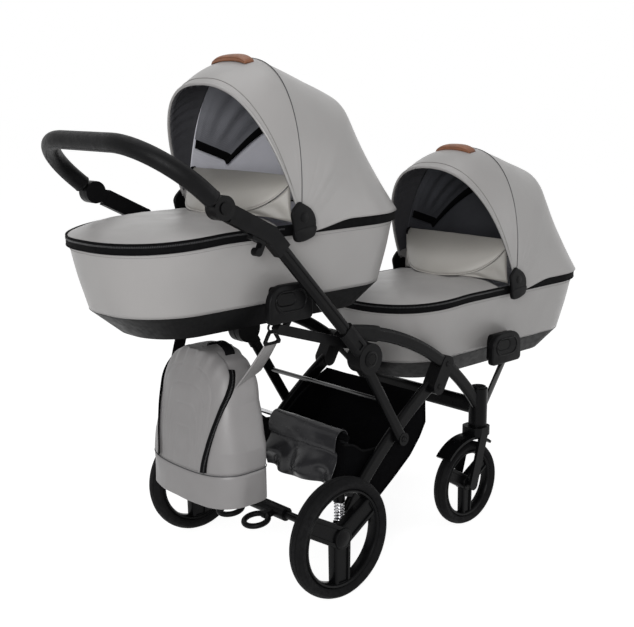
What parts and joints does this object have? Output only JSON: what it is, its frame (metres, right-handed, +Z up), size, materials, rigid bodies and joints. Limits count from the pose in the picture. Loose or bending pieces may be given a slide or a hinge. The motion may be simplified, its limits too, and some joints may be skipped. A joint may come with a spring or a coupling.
{
  "type": "tandem twin pram",
  "caption": "Tandem pram: hooded carrycots one behind and above the other on a folding wheeled frame with a tilting handlebar, foot brake, basket and hanging bag.",
  "frame": {"origin": "on the floor under the middle of the overall length", "axes": "+X the way the pram is pushed, +Y its left side, +Z up"},
  "size_m": [1.64, 0.612, 1.2484],
  "materials": {
    "frame_black": "satin black powder coat on aluminium tube",
    "gloss_tube": "gloss black paint on aluminium tube",
    "black_plastic": "fine-grained black moulding",
    "wheel_plastic": "satin black wheel moulding",
    "tyre": "matte black tyre",
    "spring_chrome": "bright plated wire",
    "basket_cloth": "black woven cloth",
    "basket_leather": "dark grey imitation leather",
    "grip_leather": "black stitched imitation leather",
    "bag_fill": "grey imitation leather, lightly quilted",
    "bag_leather": "grey imitation leather webbing",
    "cot_leather": "satin grey imitation leather",
    "pale_leather": "paler grey imitation leather",
    "trim_black": "black binding with a zip",
    "mattress": "white cotton cover",
    "brown_leather": "tan brown leather"
  },
  "bodies": {
    "chassis": {"side_rails": "frame_black", "arch_tubes": "frame_black", "leg_tubes": "frame_black", "leg_crossbar": "frame_black", "fold_hubs": "black_plastic", "arch_clamps": "black_plastic", "front_beam": "frame_black", "front_support_tube": "gloss_tube", "basket": "basket_cloth", "basket_flap": "basket_leather", "rear_springs": "spring_chrome"},
    "rear_axle": {"rear_axle_frame": "frame_black"},
    "brake": {"brake_pedal": "black_plastic"},
    "rear_wheel_left": {"rear_rim_left": "wheel_plastic", "rear_tyre_left": "tyre"},
    "rear_wheel_right": {"rear_rim_right": "wheel_plastic", "rear_tyre_right": "tyre"},
    "caster_left": {"fork_left": "frame_black"},
    "caster_right": {"fork_right": "frame_black"},
    "front_wheel_left": {"front_rim_left": "wheel_plastic", "front_tyre_left": "tyre"},
    "front_wheel_right": {"front_rim_right": "wheel_plastic", "front_tyre_right": "tyre"},
    "upper_frame": {"uprights": "frame_black", "fold_knuckles": "black_plastic", "handle_sockets": "black_plastic"},
    "fold_trigger_left": {"trigger_left": "black_plastic"},
    "fold_trigger_right": {"trigger_right": "black_plastic"},
    "handlebar": {"handle_tube": "frame_black", "handle_grip": "grip_leather"},
    "handle_button_left_body": {"handle_button_left": "black_plastic"},
    "handle_button_right_body": {"handle_button_right": "black_plastic"},
    "hanging_bag": {"bag": "bag_fill", "bag_straps": "bag_leather"},
    "rear_cot": {"rear_cot_base": "black_plastic", "rear_cot_wall": "cot_leather", "rear_cot_trim": "trim_black", "rear_cot_apron": "cot_leather", "rear_cot_flap": "pale_leather", "rear_cot_mattress": "mattress", "rear_cot_brackets": "black_plastic", "rear_hood_rear": "cot_leather", "rear_hood_hubs": "black_plastic"},
    "rear_hood": {"rear_hood_front": "pale_leather", "rear_hood_handle": "brown_leather"},
    "rear_release_left": {"rear_cot_button_left": "black_plastic"},
    "rear_release_right": {"rear_cot_button_right": "black_plastic"},
    "front_cot": {"front_cot_base": "black_plastic", "front_cot_wall": "cot_leather", "front_cot_trim": "trim_black", "front_cot_apron": "cot_leather", "front_cot_flap": "pale_leather", "front_cot_mattress": "mattress", "front_cot_brackets": "black_plastic", "front_hood_rear": "cot_leather", "front_hood_hubs": "black_plastic"},
    "front_hood": {"front_hood_front": "pale_leather", "front_hood_handle": "brown_leather"},
    "front_release_left": {"front_cot_button_left": "black_plastic"},
    "front_release_right": {"front_cot_button_right": "black_plastic"}
  },
  "joints": [
    {"name": "rear_suspension", "type": "hinge", "parent": "chassis", "child": "rear_axle", "pos_m": [-0.251, 0, 0.142], "axis": [0, 1, 0], "range_deg": [0, 8], "stiffness_Nm_per_rad": 160, "springref_deg": -8.02, "deforming": ["rear_springs"]},
    {"name": "rear_wheel_left_spin", "type": "hinge", "parent": "rear_axle", "child": "rear_wheel_left", "pos_m": [-0.346, 0.277, 0.145], "axis": [0, 1, 0], "continuous": true},
    {"name": "rear_wheel_right_spin", "type": "hinge", "parent": "rear_axle", "child": "rear_wheel_right", "pos_m": [-0.346, -0.277, 0.145], "axis": [0, 1, 0], "continuous": true},
    {"name": "brake_press", "type": "hinge", "parent": "rear_axle", "child": "brake", "pos_m": [-0.346, 0, 0.145], "axis": [0, 1, 0], "range_deg": [-20, 0]},
    {"name": "frame_fold", "type": "hinge", "parent": "chassis", "child": "upper_frame", "pos_m": [-0.211, 0, 0.542], "axis": [0, 1, 0], "range_deg": [0, 95]},
    {"name": "handle_tilt", "type": "hinge", "parent": "upper_frame", "child": "handlebar", "pos_m": [-0.643, 0, 0.934], "axis": [0, 1, 0], "range_deg": [-25, 15]},
    {"name": "bag_swing", "type": "hinge", "parent": "chassis", "child": "hanging_bag", "pos_m": [-0.45334, 0, 0.64601], "axis": [0, 1, 0], "range_deg": [-12, 15]},
    {"name": "caster_left_swivel", "type": "hinge", "parent": "chassis", "child": "caster_left", "pos_m": [0.246, 0.209, 0.3], "axis": [0, 0, 1], "continuous": true},
    {"name": "front_wheel_left_spin", "type": "hinge", "parent": "caster_left", "child": "front_wheel_left", "pos_m": [0.198, 0.209, 0.115], "axis": [0, 1, 0], "continuous": true},
    {"name": "fold_trigger_left_pull", "type": "slide", "parent": "upper_frame", "child": "fold_trigger_left", "axis": [-0.8927, 0, 0.4507], "range_m": [0, 0.012], "stiffness_N_per_m": 300, "springref_m": -0.004},
    {"name": "handle_button_left_press", "type": "slide", "parent": "handlebar", "child": "handle_button_left_body", "axis": [0, -1, 0], "range_m": [0, 0.003], "stiffness_N_per_m": 400, "springref_m": -0.002},
    {"name": "caster_right_swivel", "type": "hinge", "parent": "chassis", "child": "caster_right", "pos_m": [0.246, -0.209, 0.3], "axis": [0, 0, 1], "continuous": true},
    {"name": "front_wheel_right_spin", "type": "hinge", "parent": "caster_right", "child": "front_wheel_right", "pos_m": [0.198, -0.209, 0.115], "axis": [0, 1, 0], "continuous": true},
    {"name": "fold_trigger_right_pull", "type": "slide", "parent": "upper_frame", "child": "fold_trigger_right", "axis": [-0.8927, 0, 0.4507], "range_m": [0, 0.012], "stiffness_N_per_m": 300, "springref_m": -0.004},
    {"name": "handle_button_right_press", "type": "slide", "parent": "handlebar", "child": "handle_button_right_body", "axis": [0, 1, 0], "range_m": [0, 0.003], "stiffness_N_per_m": 400, "springref_m": -0.002},
    {"name": "rear_cot_lift", "type": "slide", "parent": "chassis", "child": "rear_cot", "axis": [0.5878, 0, 0.809], "range_m": [0, 0.25]},
    {"name": "rear_hood_fold", "type": "hinge", "parent": "rear_cot", "child": "rear_hood", "pos_m": [-0.396, 0, 0.885], "axis": [0, 1, 0], "range_deg": [0, 75], "deforming": ["rear_hood_rear"]},
    {"name": "rear_release_left_press", "type": "slide", "parent": "rear_cot", "child": "rear_release_left", "axis": [0, -1, 0], "range_m": [0, 0.004], "stiffness_N_per_m": 500, "springref_m": -0.002},
    {"name": "rear_release_right_press", "type": "slide", "parent": "rear_cot", "child": "rear_release_right", "axis": [0, 1, 0], "range_m": [0, 0.004], "stiffness_N_per_m": 500, "springref_m": -0.002},
    {"name": "front_cot_lift", "type": "slide", "parent": "chassis", "child": "front_cot", "axis": [0.5878, 0, 0.809], "range_m": [0, 0.25]},
    {"name": "front_hood_fold", "type": "hinge", "parent": "front_cot", "child": "front_hood", "pos_m": [0.396, 0, 0.645], "axis": [0, 1, 0], "range_deg": [0, 75], "deforming": ["front_hood_rear"]},
    {"name": "front_release_left_press", "type": "slide", "parent": "front_cot", "child": "front_release_left", "axis": [0, -1, 0], "range_m": [0, 0.004], "stiffness_N_per_m": 500, "springref_m": -0.002},
    {"name": "front_release_right_press", "type": "slide", "parent": "front_cot", "child": "front_release_right", "axis": [0, 1, 0], "range_m": [0, 0.004], "stiffness_N_per_m": 500, "springref_m": -0.002}
  ]
}
